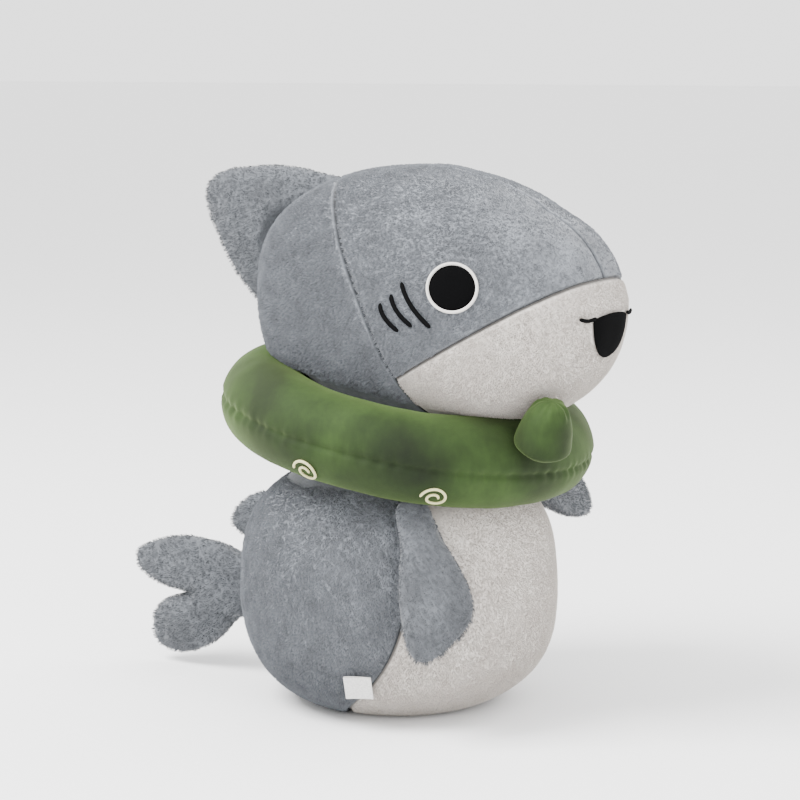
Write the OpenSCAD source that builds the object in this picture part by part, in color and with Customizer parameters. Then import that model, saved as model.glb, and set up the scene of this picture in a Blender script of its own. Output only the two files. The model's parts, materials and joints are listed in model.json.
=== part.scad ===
// Plush shark: a gourd-shaped body, a blunt head on a soft neck, a stuffed collar ring,
// and sewn fins. The toy faces -Y, +Z is up, and the origin is the centre of its flat base.

/* [Body] */
// Largest radius of the body
body_r = 130; // [125:1:135]
// Height of the body's widest level
body_wide_z = 104; // [100:1:108]
// Height at which the body ends in the neck
body_top_z = 200; // [196:1:203]

/* [Head] */
// Length of the head, back to snout
head_len = 304; // [300:1:308]
// Width of the head
head_w = 216; // [208:1:220]
// Height of the head before its underside is cut flat
head_h = 212; // [208:1:216]
// Height of the head's centre
head_z = 335; // [334:1:340]
// How far the head's centre sits in front of the body's axis
head_forward = 39; // [37:1:41]
// Squareness of the head's outline, where 2 is an ellipse
head_power = 2.45; // [2.3:0.05:2.6]
// Share by which the forehead falls towards the snout
brow_fall = 0.13; // [0:0.01:0.15]

/* [Neck and collar] */
// Forward lean of the neck, in degrees
neck_lean = 11; // [10:0.5:12]
// Height of the neck's centre
neck_z = 232; // [231:1:233]
// How far the neck's centre sits in front of the body's axis
neck_forward = 10; // [8:1:12]
// Radius of the neck stuffing
neck_r = 72; // [68:1:74]
// Radius of the collar, to the middle of its tube
collar_r = 115; // [114:1:117]
// Radius of the collar's tube
collar_tube_r = 36; // [34:1:36]

/* [Fins] */
// Half thickness of the head fin
head_fin_t = 15; // [12:1:16]
// Half thickness of the back fin
back_fin_t = 9; // [7:1:10]
// Half thickness of the tail fin
tail_t = 13; // [10:1:14]
// Half thickness of each flipper
flipper_t = 10; // [8:1:10]
// Length of each flipper
flipper_len = 112; // [100:1:116]

/* [Fabric] */
// Thickness of the pile fabric
pile_t = 2.4; // [2:0.1:3]
// Space between neighbouring pieces
gap = 0.5; // [0.4:0.1:0.6]
// Space between a sewn-on piece and the skin it is sewn to
seam_gap = 2; // [1.6:0.1:2.5]

/* [Hidden] */

grey = "#9a9ea6";
pale_grey = "#a8adb5";
white = "#d8cfc8";
green = "#5c7038";
black = "#141414";
stuffing = "#f2f0ea";

head_centre = [0, -head_forward, head_z];
head_half = [head_w / 2, head_len / 2, head_h / 2];
neck_centre = [0, -neck_forward, neck_z];
// Along the neck's axis, the head's underside clears the top of the collar's tube.
head_cut = collar_tube_r + seam_gap;
ball_r = neck_r + 10;

// ---- Vectors ----
function unit(v) = v / norm(v);
function across(axis) = unit(cross(axis, abs(axis.z) < 0.9 ? [0, 0, 1] : [0, 1, 0]));
function turn_x(v, a) = [v.x, v.y * cos(a) - v.z * sin(a), v.y * sin(a) + v.z * cos(a)];
// Straight sides of every full circle turned or drawn in one piece.
round_steps = 96;
tube_steps = 48;
neck_axis = turn_x([0, 0, 1], neck_lean);
function above_neck(p) = (p - neck_centre) * neck_axis;

// ---- Meshes: a fan is a dished sheet round a centre, a grid is a four-sided sheet ----
function all_points(rows) = [for (r = rows) for (p = r) p];
function turned(f, flip) = flip ? [f[2], f[1], f[0]] : f;
function fan_faces(first, rings, n, flip) = [
    for (j = [0:n - 1]) turned([first, first + 1 + (j + 1) % n, first + 1 + j], flip),
    for (i = [0:rings - 2], j = [0:n - 1], half = [0, 1])
        let (k = (j + 1) % n, a = first + 1 + i * n, b = a + n)
        turned(half == 0 ? [a + j, a + k, b + k] : [a + j, b + k, b + j], flip)
];
// Closes two fans, each [centre, rings], into one solid, with a wall round the rim.
module fan_solid(top, bottom) {
    n = len(top[1][0]);
    size = 1 + len(top[1]) * n;
    top_rim = size - n;
    bottom_rim = size + 1 + (len(bottom[1]) - 1) * n;
    wall = [
        for (j = [0:n - 1], half = [0, 1])
            let (k = (j + 1) % n)
            half == 0 ? [top_rim + j, top_rim + k, bottom_rim + k]
            : [top_rim + j, bottom_rim + k, bottom_rim + j]
    ];
    polyhedron(
        points = concat([top[0]], all_points(top[1]), [bottom[0]], all_points(bottom[1])),
        faces = concat(fan_faces(0, len(top[1]), n, false), fan_faces(size, len(bottom[1]), n, true), wall)
    );
}
// Closes an outer and an inner sheet, each rows of points, into one solid.
module grid_solid(outer, inner) {
    rows = len(outer);
    n = len(outer[0]);
    size = rows * n;
    sheet = [
        for (i = [0:rows - 2], j = [0:n - 2], half = [0, 1])
            let (a = i * n + j, b = a + n)
            half == 0 ? [a, b, b + 1] : [a, b + 1, a + 1]
    ];
    edge = concat(
        [for (j = [0:n - 1]) j],
        [for (i = [1:rows - 1]) i * n + n - 1],
        [for (j = [n - 2:-1:0]) (rows - 1) * n + j],
        [for (i = [rows - 2:-1:1]) i * n]
    );
    wall = [
        for (e = [0:len(edge) - 1], half = [0, 1])
            let (a = edge[e], b = edge[(e + 1) % len(edge)])
            half == 0 ? [a, b, size + b] : [a, size + b, size + a]
    ];
    polyhedron(
        points = concat(all_points(outer), all_points(inner)),
        faces = concat(sheet, [for (f = sheet) [size + f[2], size + f[1], size + f[0]]], wall)
    );
}

// ---- Head surface ----
// The forehead falls away where a direction points both forwards and up, fully at these shares.
brow_front = 0.8;
brow_up = 0.6;
function share(v) = max(0, min(1, v));
function brow(d) = 1 - brow_fall * share(-d.y / norm(d) / brow_front) * share(d.z / norm(d) / brow_up);
function head_reach(d) = brow(d) * pow(
    pow(abs(d.x) / head_half.x, head_power)
    + pow(abs(d.y) / head_half.y, head_power)
    + pow(abs(d.z) / head_half.z, head_power), -1 / head_power);
function head_point(d, depth) = head_centre + (head_reach(d) - depth) * d;
// The direction at an angle from a centre direction, towards a bearing round it.
function bearing(c, b, a) =
    let (u = across(c), v = cross(c, u))
    c * cos(a) + (u * cos(b) + v * sin(b)) * sin(a);

// The largest angle from a centre, at one bearing, for which a piece's own rule still holds.
scan_step = 6;
scan_end = 168;
function narrow(rule, c, b, low, high, tries) =
    tries == 0 ? low
    : let (mid = (low + high) / 2)
      rule(bearing(c, b, mid))
      ? narrow(rule, c, b, mid, high, tries - 1)
      : narrow(rule, c, b, low, mid, tries - 1);
function scan(rule, c, b, a) =
    a < scan_end && rule(bearing(c, b, a + scan_step)) ? scan(rule, c, b, a + scan_step) : a;
function fan_edge(rule, c, b) = let (a = scan(rule, c, b, 0)) narrow(rule, c, b, a, a + scan_step, 10);

// A sheet on the head round a centre direction, cut to its rule, between two depths.
module head_sheet(rule, c, outer_depth, inner_depth, n, rings) {
    edges = [for (j = [0:n - 1]) fan_edge(rule, c, 360 * j / n)];
    function sheet(depth) = [
        head_point(c, depth),
        [for (i = [1:rings])
            [for (j = [0:n - 1]) head_point(bearing(c, 360 * j / n, edges[j] * i / rings), depth)]]
    ];
    fan_solid(sheet(outer_depth), sheet(inner_depth));
}

// The seam behind the face leans forward as it comes down the side of the head.
seam_crown = 45;
seam_sweep = 0.42;
side_margin = 0.3;
function roll(d) = atan2(abs(d.x), d.z);
function behind_seam(d, margin) = acos(d.y) < seam_crown + seam_sweep * roll(d) - margin;
// The jaw's seam is a straight line that climbs towards the snout.
jaw_seam_z = -64;
jaw_seam_slope = 0.58;
function over_jaw(d, margin) = let (p = head_reach(d) * d) p.z > jaw_seam_z - jaw_seam_slope * p.y + margin;
function over_cut(d) = above_neck(head_point(d, 0)) > head_cut;
function on_side(d, side) = head_reach(d) * d.x * side > gap / 2;

module head_back_panel(side) {
    head_sheet(function(d) on_side(d, side) && behind_seam(d, side_margin) && over_cut(d),
        unit([0.75 * side, 0.75, 0.1]), 0, pile_t, 32, 4);
}
module face_panel(side) {
    head_sheet(
        function(d) on_side(d, side) && !behind_seam(d, -side_margin) && over_jaw(d, gap) && over_cut(d),
        unit([0.75 * side, -0.6, 0.65]), 0, pile_t, 32, 4);
}
module head_back_right() { color(grey) head_back_panel(-1); }
module head_back_left() { color(grey) head_back_panel(1); }
module face_right() { color(pale_grey) face_panel(-1); }
module face_left() { color(pale_grey) face_panel(1); }
module jaw_panel() {
    color(white)
    head_sheet(function(d) !behind_seam(d, -side_margin) && !over_jaw(d, -gap) && over_cut(d),
        unit([0, -1, -0.22]), 0, pile_t, 40, 5);
}

// The head's stuffing is the whole head inside its skin, cut flat above the collar.
// The panels are faceted, so the stuffing keeps this far inside them.
head_core_room = 4.5;
body_core_room = 2.4;
head_core_rows = 6;
head_core_cols = 28;
module head_stuffing() {
    up = [0, 0, 1];
    depth = pile_t + head_core_room;
    room = above_neck(head_centre) - head_cut;
    function reach(d) = min(head_reach(d) - depth, d * neck_axis < 0 ? room / -(d * neck_axis) : head_len);
    function point(d) = head_centre + reach(d) * d;
    function row(a) = [for (j = [0:head_core_cols - 1]) point(bearing(up, 360 * j / head_core_cols, a))];
    step = 180 / (2 * head_core_rows + 1);
    color(stuffing)
    fan_solid(
        [point(up), [for (i = [1:head_core_rows]) row(i * step)]],
        [point(-up), [for (i = [1:head_core_rows]) row(180 - i * step)]]
    );
}

// ---- Face details ----
applique_t = 0.8;
applique_lift = 0.9;
eye_r = 17;
eye_ring_w = 2.6;
eye_dir = [0.83, -0.52, 0.15];
gill_dirs = [[0.93, -0.08, -0.06], [0.92, -0.17, -0.01], [0.9, -0.27, 0.03]];
gill_lens = [21, 24, 33];
gill_slant = 0.75;
gill_w = 3;
mouth_dir = [0, -1, -0.07];

// A disc on the head, or a band round it.
module head_disc(dir, r, inner_r) {
    c = unit(dir);
    reach = head_reach(c);
    function sheet(radius, depth) =
        [for (j = [0:23]) head_point(bearing(c, 15 * j, asin(radius / reach)), depth)];
    low = -applique_lift;
    high = -applique_lift - applique_t;
    if (inner_r == 0)
        fan_solid([head_point(c, high), [sheet(r, high)]], [head_point(c, low), [sheet(r, low)]]);
    else
        band_solid(sheet(inner_r, high), sheet(r, high), sheet(inner_r, low), sheet(r, low));
}
// A closed ring with a four-sided section, given by its four loops.
module band_solid(top_in, top_out, low_in, low_out) {
    n = len(top_in);
    loops = [top_in, top_out, low_out, low_in];
    faces = [
        for (s = [0:3], j = [0:n - 1], half = [0, 1])
            let (k = (j + 1) % n, a = s * n, b = ((s + 1) % 4) * n)
            half == 0 ? [a + j, a + k, b + k] : [a + j, b + k, b + j]
    ];
    polyhedron(points = all_points(loops), faces = faces);
}
// A strip laid along directions on the head, with ends this share as wide as its middle.
stroke_end = 0.35;
module head_stroke(dirs, width) {
    last = len(dirs) - 1;
    function side_at(i) = unit(cross(dirs[min(i + 1, last)] - dirs[max(i - 1, 0)], dirs[i]));
    function w(i) = width * (stroke_end + (1 - stroke_end) * sin(180 * i / last)) / 2;
    function row(depth) = [
        for (i = [0:last]) [for (s = [-1, 1])
            head_point(unit(dirs[i]), depth) + s * w(i) * side_at(i)]
    ];
    grid_solid(row(-applique_lift - applique_t), row(-applique_lift));
}
function flip_x(v, side) = [v.x * side, v.y, v.z];

module eye(side) { head_disc(flip_x(eye_dir, side), eye_r - gap, 0); }
module eye_ring(side) { head_disc(flip_x(eye_dir, side), eye_r + eye_ring_w, eye_r); }
module eye_right() { color(black) eye(-1); }
module eye_left() { color(black) eye(1); }
module eye_ring_right() { color("white") eye_ring(-1); }
module eye_ring_left() { color("white") eye_ring(1); }

// Three short curved strokes in a row behind each eye.
module gill_stitches(side) {
    for (g = [0:2]) {
        mid = flip_x(gill_dirs[g], side);
        head_stroke([
            for (i = [-3:3])
                let (t = i / 3, rise = gill_lens[g] / head_w * t)
                unit(unit(mid) + [0, -gill_slant * rise - 0.035 * t * t, -rise])
        ], gill_w);
    }
}
module gill_stitches_right() { color(black) gill_stitches(-1); }
module gill_stitches_left() { color(black) gill_stitches(1); }

// The open mouth is a rounded tongue shape under a short line.
mouth_w = 30;
mouth_drop = 32;
module mouth_patch() {
    c = unit(mouth_dir);
    function edge(b) =
        let (down = sin(b) < 0 ? mouth_drop : 5, x = mouth_w * cos(b), z = down * sin(b))
        unit(head_reach(c) * c + [x, 0, z]);
    function ring(s, depth) = [for (j = [0:19]) head_point(unit(c + s * (edge(18 * j) - c)), depth)];
    function sheet(depth) = [head_point(c, depth), [ring(0.5, depth), ring(1, depth)]];
    color(black) fan_solid(sheet(-applique_lift - applique_t), sheet(-applique_lift));
}
module mouth_line() {
    color(black)
    for (side = [-1, 1])
        head_stroke([for (i = [0:4]) unit([side * (0.205 + 0.024 * i), -1, -0.045 + 0.004 * i])], 3);
}

// ---- Body ----
// The body is round, with a squarer lower half and a shoulder that falls away to the neck.
low_power = 2.8;
high_power = 2.6;
low_depth = body_wide_z + 8;
high_rise = 108;
function body_at(a) = a < 0
    ? [body_r * pow(cos(a), 2 / low_power), body_wide_z - low_depth * pow(sin(-a), 2 / low_power)]
    : [body_r * pow(cos(a), 2 / high_power), body_wide_z + high_rise * pow(sin(a), 2 / high_power)];
base_angle = -asin(pow(body_wide_z / low_depth, low_power / 2));
top_angle = asin(pow((body_top_z - body_wide_z) / high_rise, high_power / 2));
base_r = body_at(base_angle)[0];
// The profile moved inwards by a depth.
function body_inside(a, depth) =
    let (d = body_at(a + 0.5) - body_at(a - 0.5), n = [d[1], -d[0]] / norm(d))
    body_at(a) - depth * n;
floor_gap = pile_t + gap;
core_steps = 24;

// The collar's tube, with room round it, at a lean of the neck.
module collar_room(lean, room) {
    translate(neck_centre) rotate([lean, 0, 0])
        rotate_extrude($fn = round_steps)
        translate([collar_r, 0]) circle(collar_tube_r + room, $fn = tube_steps);
}
// The neck can tip back by this angle before the collar meets the back.
nod_range = 15;
collar_clearance = 1;

module body_stuffing() {
    outline = [
        for (i = [0:core_steps])
            let (a = base_angle + (top_angle - base_angle) * i / core_steps)
            let (p = body_inside(a, pile_t + body_core_room))
            [p[0], max(p[1], floor_gap)]
    ];
    color(stuffing)
    difference() {
        rotate_extrude($fn = round_steps)
            polygon(concat([[0, floor_gap]], outline, [[0, outline[core_steps][1]]]));
        translate(neck_centre) sphere(ball_r + gap, $fn = round_steps);
        for (lean = [neck_lean, neck_lean - nod_range]) collar_room(lean, collar_clearance);
    }
}
module base_panel() {
    color(grey) cylinder(h = pile_t, r = base_r - gap, $fn = round_steps);
}

// The seam between belly and back, as a bearing from the front, widens towards the base.
function seam_bearing(z) = 52 + 9 * (1 - z / body_top_z) + 38 * exp(-z / 32);
function body_point(bearing, a, depth) =
    let (p = body_inside(a, depth)) [p[0] * sin(bearing), -p[0] * cos(bearing), max(p[1], gap)];
// A skin stops short of the collar and of the neck's ball, at either end of the nod.
function ring_distance(p, lean) =
    let (q = turn_x(p - neck_centre, -lean)) norm([norm([q.x, q.y]) - collar_r, q.z]);
skin_room = collar_tube_r + collar_clearance + gap;
function skin_ok(p) = norm(p - neck_centre) > ball_r + gap
    && ring_distance(p, neck_lean) > skin_room && ring_distance(p, neck_lean - nod_range) > skin_room;
function skin_top(bearing, a) =
    a < top_angle && skin_ok(body_point(bearing, a + 1, 0)) ? skin_top(bearing, a + 1) : a;

// A skin between two bearings, each a function of the height.
module body_skin(from, to, cols) {
    rows = 16;
    mid_bearing = function(j, z) from(z) + (to(z) - from(z)) * j / cols;
    tops = [for (j = [0:cols]) skin_top(mid_bearing(j, 160), 20)];
    function sheet(depth) = [
        for (i = [0:rows]) [
            for (j = [0:cols])
                let (a = base_angle + 1 + (tops[j] - base_angle - 1) * i / rows)
                body_point(mid_bearing(j, body_at(a)[1]), a, depth)
        ]
    ];
    grid_solid(sheet(0), sheet(pile_t));
}
seam_half = 0.25;
module belly_panel() {
    color(white)
    body_skin(function(z) -seam_bearing(z) + seam_half, function(z) seam_bearing(z) - seam_half, 20);
}
module back_panel_left() {
    color(grey) body_skin(function(z) seam_bearing(z) + seam_half, function(z) 180 - seam_half, 16);
}
module back_panel_right() {
    color(grey) body_skin(function(z) -180 + seam_half, function(z) -seam_bearing(z) - seam_half, 16);
}

// ---- Neck and collar, drawn round the neck's leaning axis ----
module on_neck() { translate(neck_centre) rotate([neck_lean, 0, 0]) children(); }
neck_top = head_cut - gap;
module neck_stuffing() {
    low = -sqrt(ball_r * ball_r - neck_r * neck_r);
    fall = acos(neck_r / ball_r);
    color(stuffing)
    on_neck() rotate_extrude($fn = round_steps)
        polygon(concat(
            [for (i = [0:12]) let (a = -90 + (90 - fall) * i / 12) [ball_r * cos(a), ball_r * sin(a)]],
            [[neck_r, neck_top], [0, neck_top]]
        ));
}
velvet_t = 1.6;
band_steps = 24;
module tube_band(outer_r, inner_r, from) {
    function round_at(i) =
        let (a = from + gap + (180 - 2 * gap) * i / band_steps)
        [cos(a), sin(a)];
    rotate_extrude($fn = round_steps) translate([collar_r, 0])
        polygon(concat(
            [for (i = [0:band_steps]) outer_r * round_at(i)],
            [for (i = [band_steps:-1:0]) inner_r * round_at(i)]
        ));
}
module collar_stuffing() {
    color(stuffing) on_neck()
        rotate_extrude($fn = round_steps)
        translate([collar_r, 0]) circle(collar_tube_r - velvet_t - gap, $fn = tube_steps);
}
module collar_panel(from) {
    color(green) on_neck() tube_band(collar_tube_r, collar_tube_r - velvet_t, from);
}
module collar_top_panel() { collar_panel(0); }
module collar_bottom_panel() { collar_panel(180); }

// Embroidered spirals low on the collar's outer face, at these bearings from the front.
swirl_bearings = [-92, -51, 51, 92];
swirl_fall = -38;
swirl_r = 11;
swirl_w = 2;
thread_lift = 0.3;
swirl_turn = 540;
swirl_start = 0.25;
swirl_steps = 20;
module collar_swirls() {
    // A small distance along the collar, as an angle down its tube or round its ring.
    as_fall = 180 / (PI * collar_tube_r);
    as_bearing = 180 / (PI * (collar_r + collar_tube_r * cos(swirl_fall)));
    function spiral(i, aside) =
        let (t = i / swirl_steps, r = swirl_r * (swirl_start + (1 - swirl_start) * t) + aside)
        r * [cos(swirl_turn * t), sin(swirl_turn * t)];
    function on_tube(bearing, fall, r) =
        let (reach = collar_r + r * cos(fall))
        [reach * sin(bearing), -reach * cos(bearing), r * sin(fall)];
    function sheet(b, r) = [
        for (i = [0:swirl_steps]) [
            for (aside = [-swirl_w / 2, swirl_w / 2])
                let (p = spiral(i, aside))
                on_tube(b + p[0] * as_bearing, swirl_fall + p[1] * as_fall, r)
        ]
    ];
    low = collar_tube_r + thread_lift;
    color("ivory") on_neck()
    for (b = swirl_bearings) grid_solid(sheet(b, low + applique_t), sheet(b, low));
}

// ---- Collar knob: a stubby stuffed peg on the front of the collar ----
// Its round foot sits just clear of the tube, so it can flop without touching it.
knob_bearing = -21;
knob_rise = 40;
knob_lean_bearing = -60;
knob_lean = 16;
knob_r = 18;
knob_top_r = 12;
knob_len = 32;
knob_reach = collar_tube_r + knob_r + gap;
module on_knob() {
    r = collar_r + knob_reach * cos(knob_rise);
    on_neck()
    translate([r * sin(knob_bearing), -r * cos(knob_bearing), knob_reach * sin(knob_rise)])
    rotate([0, 0, knob_lean_bearing]) rotate([knob_lean, 0, 0]) children();
}
// A round-footed peg with a blunt round end, moved inwards by a depth.
module peg(depth) {
    foot = knob_r - depth;
    end = knob_top_r - depth;
    rotate_extrude($fn = 48)
        polygon(concat(
            [for (i = [0:8]) let (a = -90 + 90 * i / 8) [foot * cos(a), foot * sin(a)]],
            [for (i = [0:6]) let (a = 90 * i / 6) [end * cos(a), knob_len - end + end * sin(a)]]
        ));
}
module knob_stuffing() { color(stuffing) on_knob() peg(velvet_t + gap); }
module knob_cover() {
    color(green) on_knob() difference() {
        peg(0);
        peg(velvet_t);
    }
}

// ---- Stuffed fins ----
// A smooth closed line through a few points.
function spline(p, q, r, s, t) = 0.5 * (2 * q + (r - p) * t + (2 * p - 5 * q + 4 * r - s) * t * t
    + (3 * q - p - 3 * r + s) * t * t * t);
function loop_line(pts, steps) = let (n = len(pts)) [
    for (i = [0:n - 1], k = [0:steps - 1])
        spline(pts[(i + n - 1) % n], pts[i], pts[(i + 1) % n], pts[(i + 2) % n], k / steps)
];
// A plane to lay a fin in: an origin, two directions, and the face's direction.
function fin_point(frame, p, h) = frame[0] + p[0] * frame[1] + p[1] * frame[2] + h * frame[3];
fin_rings = 4;
fin_edge = 0.3;
// One face of a fin, swollen from the outline up to its half thickness.
function fin_face(frame, outline, mid, half_t, scale_in, side) =
    let (height = function(s) side * (fin_edge + half_t * pow(1 - s * s, 0.55)))
    [
        fin_point(frame, mid, height(0)),
        [for (i = [1:fin_rings]) let (s = i / fin_rings)
            [for (q = outline) fin_point(frame, mid + s * scale_in * (q - mid), height(s))]]
    ];
function inset_scale(outline, mid, inset) = 1 - inset / min([for (q = outline) norm(q - mid)]);
module fin_core(frame, outline, mid, half_t) {
    inset = pile_t + gap;
    k = inset_scale(outline, mid, inset);
    color(stuffing) fan_solid(
        fin_face(frame, outline, mid, half_t - inset, k, 1),
        fin_face(frame, outline, mid, half_t - inset, k, -1)
    );
}
module fin_panel(frame, outline, mid, half_t, side) {
    k = inset_scale(outline, mid, pile_t);
    outer = fin_face(frame, outline, mid, half_t, 1, side);
    inner = fin_face(frame, outline, mid, half_t - pile_t, k, side);
    if (side > 0) fan_solid(outer, inner);
    else fan_solid(inner, outer);
}
module fin_cover(frame, outline, mid, half_t) {
    for (side = [-1, 1]) fin_panel(frame, outline, mid, half_t, side);
}

// Fins in the middle plane are drawn looking from the right: first backwards, then up.
middle_frame = [[0, 0, 0], [0, 1, 0], [0, 0, 1], [1, 0, 0]];
fin_room = 3.4;
function on_head_back(a) =
    let (d = [0, cos(a), sin(a)], p = head_centre + (head_reach(d) + fin_room) * d)
    [p.y, p.z];
head_fin_outline = loop_line(concat(
    [for (a = [-8, 8, 26, 42]) on_head_back(a)],
    [[70, 432], [122, 436], [168, 430], [185, 412], [174, 378], [148, 336]]
), 3);
head_fin_mid = [124, 390];
module head_fin_stuffing() { fin_core(middle_frame, head_fin_outline, head_fin_mid, head_fin_t); }
module head_fin_right_panel() {
    color(grey) fin_panel(middle_frame, head_fin_outline, head_fin_mid, head_fin_t, -1);
}
module head_fin_left_panel() {
    color(grey) fin_panel(middle_frame, head_fin_outline, head_fin_mid, head_fin_t, 1);
}

back_fin_outline = loop_line([
    [133, 122], [131, 140], [128, 157], [143, 156], [158, 144], [162, 131], [150, 123]
], 3);
back_fin_mid = [144, 139];
module back_fin_stuffing() { fin_core(middle_frame, back_fin_outline, back_fin_mid, back_fin_t); }
module back_fin_cover() { color(grey) fin_cover(middle_frame, back_fin_outline, back_fin_mid, back_fin_t); }

tail_outline = loop_line([
    [134, 60], [157, 46], [181, 24], [211, 10], [239, 13], [247, 34], [236, 52],
    [212, 64], [238, 72], [260, 84], [262, 99], [242, 110], [216, 115], [184, 113], [158, 106], [134, 96]
], 2);
tail_mid = [187, 69];
module tail_stuffing() { fin_core(middle_frame, tail_outline, tail_mid, tail_t); }
module tail_right_panel() { color(grey) fin_panel(middle_frame, tail_outline, tail_mid, tail_t, -1); }
module tail_left_panel() { color(grey) fin_panel(middle_frame, tail_outline, tail_mid, tail_t, 1); }

// ---- Flippers: a narrow root, a wide slanted end, drawn along their length ----
flipper_outline = loop_line([
    [0, -11], [22, -19], [60, -30], [86, -28], [104, -8],
    [flipper_len, 14], [98, 24], [58, 22], [24, 14], [0, 9]
], 2);
flipper_mid = [62, -3];
// The right flipper hangs beside the body, and the left one stands out sideways.
right_root_bearing = -56;
left_root_bearing = 58;
root_out = 125;
root_z = 176;
function out_at(b) = [sin(b), -cos(b), 0];
function along_at(b) = [cos(b), sin(b), 0];
right_droop = 71;
right_down = cos(right_droop) * out_at(right_root_bearing) - sin(right_droop) * [0, 0, 1];
right_swing = 11;
right_along = unit(right_down + sin(right_swing) * along_at(right_root_bearing));
right_across = unit(cross(cross(right_along, -along_at(right_root_bearing)), right_along));
flipper_right_frame = [
    root_out * out_at(right_root_bearing) + [0, 0, root_z],
    right_along, right_across, cross(right_along, right_across)
];
left_along = unit([0.95, 0.02, -0.14]);
left_across = unit(cross(cross(left_along, [0, -0.35, -1]), left_along));
flipper_left_frame = [
    (root_out - seam_gap) * out_at(left_root_bearing) + [0, 0, root_z - 12],
    left_along, left_across, cross(left_along, left_across)
];
module flipper_right_stuffing() { fin_core(flipper_right_frame, flipper_outline, flipper_mid, flipper_t); }
module flipper_right_cover() {
    color(grey) fin_cover(flipper_right_frame, flipper_outline, flipper_mid, flipper_t);
}
module flipper_left_stuffing() { fin_core(flipper_left_frame, flipper_outline, flipper_mid, flipper_t); }
module flipper_left_cover() {
    color(grey) fin_cover(flipper_left_frame, flipper_outline, flipper_mid, flipper_t);
}

// ---- Care label: a folded loop of tape caught in the right seam, low on the body ----
label_angle = -29;
label_w = 22;
label_len = 20;
label_t = 1.2;
label_lift = 2.6;
module care_label() {
    b = -seam_bearing(body_at(label_angle)[1]);
    low = body_point(b, label_angle - 5, -label_lift);
    high = body_point(b, label_angle + 5, -label_lift);
    rise = unit(high - low);
    back = unit(cross(cross(rise, -along_at(b)), rise));
    face = cross(back, rise);
    frame = [(low + high) / 2, back, rise, face];
    function corner(u, v, h) = fin_point(frame, [u, v], h);
    function sheet(h) = [for (v = [-label_w / 2, label_w / 2]) [for (u = [0, label_len]) corner(u, v, h)]];
    color(white) grid_solid(sheet(label_t), sheet(0));
}

body_stuffing();
belly_panel();
back_panel_right();
back_panel_left();
base_panel();
neck_stuffing();
head_stuffing();
head_back_right();
head_back_left();
face_right();
face_left();
jaw_panel();
eye_right();
eye_left();
eye_ring_right();
eye_ring_left();
gill_stitches_right();
gill_stitches_left();
mouth_patch();
mouth_line();
collar_stuffing();
collar_top_panel();
collar_bottom_panel();
collar_swirls();
knob_stuffing();
knob_cover();
head_fin_stuffing();
head_fin_right_panel();
head_fin_left_panel();
back_fin_stuffing();
back_fin_cover();
tail_stuffing();
tail_right_panel();
tail_left_panel();
flipper_right_stuffing();
flipper_right_cover();
flipper_left_stuffing();
flipper_left_cover();
care_label();
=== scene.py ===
"""Looks of the plush shark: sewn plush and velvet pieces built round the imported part, in its frame."""

import json
import math

import bpy
import numpy as np
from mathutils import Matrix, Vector, noise


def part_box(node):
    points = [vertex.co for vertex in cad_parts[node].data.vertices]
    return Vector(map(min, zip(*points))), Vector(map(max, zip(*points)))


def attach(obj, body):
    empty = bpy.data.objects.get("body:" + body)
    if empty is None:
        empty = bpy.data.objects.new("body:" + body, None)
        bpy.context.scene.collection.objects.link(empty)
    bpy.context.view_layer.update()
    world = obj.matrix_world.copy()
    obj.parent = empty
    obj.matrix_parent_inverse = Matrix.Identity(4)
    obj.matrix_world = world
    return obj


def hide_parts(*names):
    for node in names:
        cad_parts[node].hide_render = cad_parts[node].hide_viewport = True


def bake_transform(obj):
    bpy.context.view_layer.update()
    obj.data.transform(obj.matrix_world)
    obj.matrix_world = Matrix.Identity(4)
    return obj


MM = 0.001

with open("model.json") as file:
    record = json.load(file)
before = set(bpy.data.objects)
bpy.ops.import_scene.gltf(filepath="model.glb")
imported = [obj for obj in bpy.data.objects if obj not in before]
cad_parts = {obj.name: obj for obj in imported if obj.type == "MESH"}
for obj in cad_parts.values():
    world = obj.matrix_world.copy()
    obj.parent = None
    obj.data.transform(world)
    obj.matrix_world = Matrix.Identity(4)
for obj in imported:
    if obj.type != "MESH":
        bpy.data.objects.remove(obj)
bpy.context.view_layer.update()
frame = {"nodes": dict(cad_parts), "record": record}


# ---- Places taken from the frame ----
def span(*nodes):
    """Lowest and highest corner of several CAD nodes together."""
    boxes = [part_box(node) for node in nodes]
    lowest = np.min([np.array(box[0]) for box in boxes], axis=0)
    highest = np.max([np.array(box[1]) for box in boxes], axis=0)
    return lowest, highest


def unit(v):
    """v, or each row of v, at length 1."""
    v = np.asarray(v, float)
    return v / np.linalg.norm(v, axis=-1, keepdims=True)


def joint(name):
    """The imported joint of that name."""
    return next(j for j in frame["record"]["behaviour"]["joints"] if j["name"] == name)


def node_points(*nodes):
    """Every vertex of some CAD nodes, in the shared frame."""
    return np.array([tuple(v.co) for n in nodes for v in frame["nodes"][n].data.vertices])


NECK_AXIS = unit(joint("collar_turn")["axis"])
NECK_CENTRE = np.array(joint("head_nod")["pos_m"], float)
COLLAR_LOW, COLLAR_HIGH = span("collar_top_panel", "collar_bottom_panel")
# The collar's box is R + r wide and R * lean + r tall from its centre, which gives both radii.
COLLAR_LEAN = abs(NECK_AXIS[1])
COLLAR_HALF = (COLLAR_HIGH - COLLAR_LOW) / 2
COLLAR_R = (COLLAR_HALF[0] - COLLAR_HALF[2]) / (1 - COLLAR_LEAN)
TUBE_R = COLLAR_HALF[0] - COLLAR_R
PILE = 2.4 * MM  # The fabric's thickness, backing and all.
SKIN_DROP = 0.8 * MM  # Fabric starts this far inside the CAD skin, so that its pile ends near it.
LOOK = "_look"

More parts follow.
